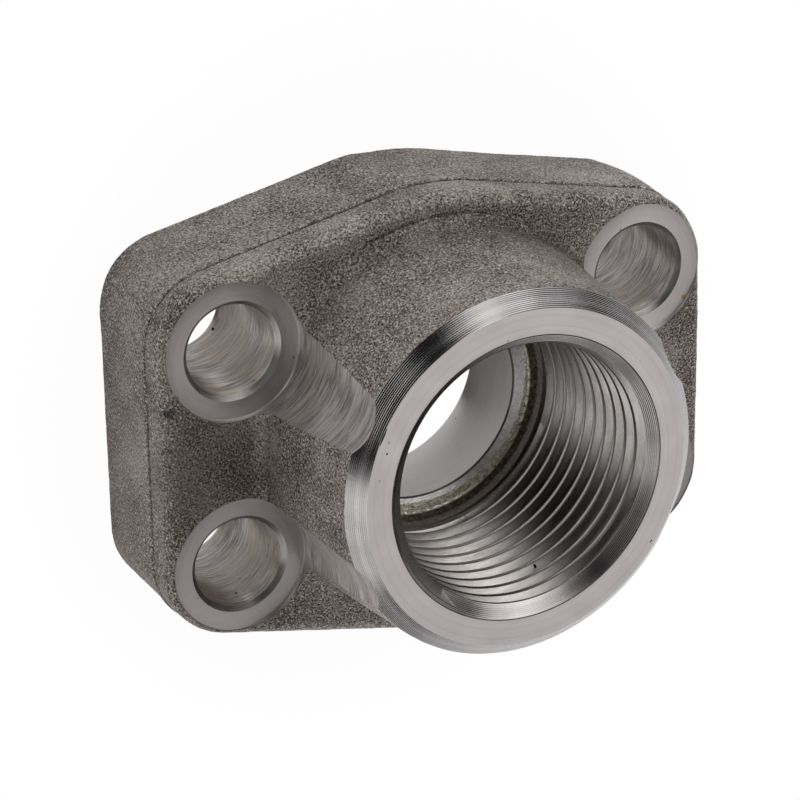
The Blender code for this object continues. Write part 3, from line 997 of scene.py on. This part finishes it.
def make_flange():
    """The whole dressed part: the forging, and then its machining in one go."""
    materials = make_materials()
    body = make_forging(materials)
    screw = thread_tool(materials)
    settle(screw)
    tools = [facing_tool(materials), back_tool(materials), port_tool(materials)]
    tools += [screw, groove_tool(materials)]
    for side_x, side_y in ((-1, -1), (1, -1), (1, 1), (-1, 1)):
        tools.append(bolt_tool((side_x * BOLT_X, side_y * BOLT_Y), materials))
    tools += [mark_tool(place, half_sizes, materials) for place, half_sizes in MARKS]
    for tool in tools:
        cut_with(body, tool)
    settle(body)
    shade(body)
    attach(body, "root")
    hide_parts("flange_body")


# Floor, light and camera

# Half the floor's side, and how much of it the camera sees as white near the part and farther off
FLOOR_HALF = 3.0
CLEAR_NEAR, CLEAR_FAR = 0.97, 1.0
CLEAR_EDGE = (0.035, 0.055)

# What the part's metal mirrors of the floor: dim by the outline as a painted shadow, full, and
# less again far off, with the distances from the bore's axis between which each changes
NEAR_SHARE, NEAR_EDGE = 0.4, (0.034, 0.06)
FAR_SHARE, FAR_EDGE = 0.6, (0.08, 0.13)

# Mirrored in metal, the floor seen through each opening is painted light, white but for a painted
# dark strip, a painted reflection on the walls of the openings. Its directions are along and
# across the view, and its other values are shares of the opening's radius.
OPENING_EDGE = (1.06, 1.0)
STRIP_ALONG = (-0.974, -0.225, 0)
STRIP_ACROSS = (0.225, -0.974, 0)
STRIP_OFFSET = 0.47
STRIP_SIDES = (0.24, 0.1)
STRIP_END = (0.3, -0.3)
STRIP_SHARE = 0.06


def make_floor():
    """A pale floor that the camera sees as white. It keeps the part's faint shadow, and mirrored
    in metal it is dimmer near the part as a painted shadow and dimmer far off, painted white under
    each opening as painted light, with a painted dark strip there."""
    points = [
        (-FLOOR_HALF, -FLOOR_HALF, 0), (FLOOR_HALF, -FLOOR_HALF, 0),
        (FLOOR_HALF, FLOOR_HALF, 0), (-FLOOR_HALF, FLOOR_HALF, 0),
    ]
    mesh = bpy.data.meshes.new("floor")
    mesh.from_pydata(points, [], [(0, 1, 2, 3)])
    floor = bpy.data.objects.new("floor", mesh)
    bpy.context.scene.collection.objects.link(floor)
    material = bpy.data.materials.new("floor")
    material.use_nodes = True
    nodes = Nodes(material.node_tree)
    output = material.node_tree.nodes["Material Output"]
    material.node_tree.nodes.remove(material.node_tree.nodes["Principled BSDF"])
    path = nodes.add("ShaderNodeLightPath").outputs
    place = nodes.add("ShaderNodeTexCoord").outputs["Object"]
    distance = nodes.vector("LENGTH", place)
    centre = nodes.vector("MULTIPLY", nodes.vector("SIGN", place), (BOLT_X, BOLT_Y, 0))
    from_hole = nodes.vector("SUBTRACT", place, centre)
    opening, painted_light_in_openings = 0.0, 0.0
    for local, radius in ((from_hole, HOLE_RADIUS), (place, BORE_RADIUS)):
        inside = nodes.vector("MULTIPLY", local, (1 / radius, 1 / radius, 0))
        within = nodes.ramp(nodes.vector("LENGTH", inside), *OPENING_EDGE)
        along = nodes.ramp(nodes.vector("DOT_PRODUCT", inside, STRIP_ALONG), *STRIP_END)
        across = nodes.vector("DOT_PRODUCT", inside, STRIP_ACROSS)
        away = nodes.math("ABSOLUTE", nodes.math("SUBTRACT", across, STRIP_OFFSET))
        # Painted dark strip and painted light in what metal mirrors through each opening
        painted_dark_strip = nodes.math("MULTIPLY", nodes.ramp(away, *STRIP_SIDES), along)
        opening_painted_light = nodes.math("MULTIPLY", within, nodes.ramp(painted_dark_strip, 0.0, 1.0, 1.0, STRIP_SHARE))
        opening = nodes.math("MAXIMUM", opening, within)
        painted_light_in_openings = nodes.math("MAXIMUM", painted_light_in_openings, opening_painted_light)
    # Painted shadow by the part's outline, seen only in metal
    level = nodes.ramp(distance, *NEAR_EDGE, NEAR_SHARE, 1.0)
    level = nodes.math("MULTIPLY", level, nodes.math("SUBTRACT", 1.0, opening))
    level = nodes.math("ADD", level, painted_light_in_openings)
    level = nodes.math("MULTIPLY", level, nodes.ramp(distance, *FAR_EDGE, 1.0, FAR_SHARE))
    mirrored = nodes.math("MAXIMUM", path["Is Glossy Ray"], path["Is Transmission Ray"])
    mirrored = nodes.math("MULTIPLY", mirrored, level)
    seen = nodes.math("MAXIMUM", path["Is Camera Ray"], mirrored)
    paper = nodes.add("ShaderNodeBsdfDiffuse", {"Color": grey(0.95)}).outputs[0]
    glow = nodes.add("ShaderNodeEmission", {"Color": grey(1.0), "Strength": 1.0}).outputs[0]
    clear = nodes.ramp(distance, *CLEAR_EDGE, CLEAR_NEAR, CLEAR_FAR)
    share = nodes.math("MULTIPLY", seen, nodes.math("MAXIMUM", clear, opening))
    both = nodes.add("ShaderNodeMixShader", {0: share, 1: paper, 2: glow}).outputs[0]
    material.node_tree.links.new(both, output.inputs["Surface"])
    mesh.materials.append(material)


def direction(azimuth, elevation):
    """The unit vector toward this azimuth and elevation in degrees."""
    a, e = radians(azimuth), radians(elevation)
    return Vector((cos(a) * cos(e), sin(a) * cos(e), sin(e)))


# The room's soft light: (azimuth, elevation, half width in degrees, strength) of each patch,
# and the share of the half width over which a patch has its full strength
PATCH_CORE = 0.35
ROOM_PATCHES = (
    (157, 6, 20, 1.3),
    (90, 6, 20, 2.18),
    (36, 54, 22, 2.02),
    (135, 6, 20, 1.7),
    (324, 54, 22, 1.36),
    (72, 30, 20, 1.29),
    (204, 16, 20, 1.4),
    (48, 30, 20, 1.19),
    (216, 54, 22, 1.03),
    (240, 30, 20, 0.93),
    (264, 30, 20, 0.66),
    (227, 14, 20, 0.85),
    (292, 14, 20, 0.7),
    (0, 30, 20, 0.58),
    (72, 54, 22, 0.51),
    (288, 30, 20, 0.44),
    (199, 32, 16, 0.5),
    (270, 76, 22, 0.27),
    (180, 76, 22, 0.18),
)


def make_room():
    """A world that is white to the camera, and dark with broad soft patches to the part."""
    world = bpy.data.worlds.new("room")
    bpy.context.scene.world = world
    world.use_nodes = True
    nodes = Nodes(world.node_tree)
    toward = nodes.add("ShaderNodeTexCoord").outputs["Generated"]
    total = 0.0
    for azimuth, elevation, half_width, strength in ROOM_PATCHES:
        facing = nodes.vector("DOT_PRODUCT", toward, direction(azimuth, elevation))
        edge, core = cos(radians(half_width)), cos(radians(half_width * PATCH_CORE))
        total = nodes.math("ADD", total, nodes.ramp(facing, edge, core, 0, strength))
    seen = nodes.add("ShaderNodeLightPath").outputs["Is Camera Ray"]
    strength = nodes.add("ShaderNodeMix", {0: seen, 2: total, 3: 1.0}).outputs[0]
    background = world.node_tree.nodes["Background"]
    background.inputs["Color"].default_value = (1, 1, 1, 1)
    world.node_tree.links.new(strength, background.inputs["Strength"])


def make_camera():
    """The photograph's viewing angle, fitted to the screw holes and the boss."""
    data = bpy.data.cameras.new("camera")
    data.sensor_width = 36
    data.lens = 147.5
    data.clip_start, data.clip_end = 0.01, 100
    camera = bpy.data.objects.new("camera", data)
    turn = Matrix((
        (0.88967762, 0.18889495, -0.41568309),
        (-0.01238772, 0.9200602, 0.39158111),
        (0.45642117, -0.34323158, 0.82089695),
    ))
    place = Vector((-0.16204, 0.15051, 0.32565))
    camera.matrix_world = Matrix.Translation(place) @ turn.to_4x4()
    bpy.context.scene.collection.objects.link(camera)
    bpy.context.scene.camera = camera


make_flange()
make_floor()
make_room()
make_camera()
bpy.context.scene.view_settings.view_transform = "Standard"
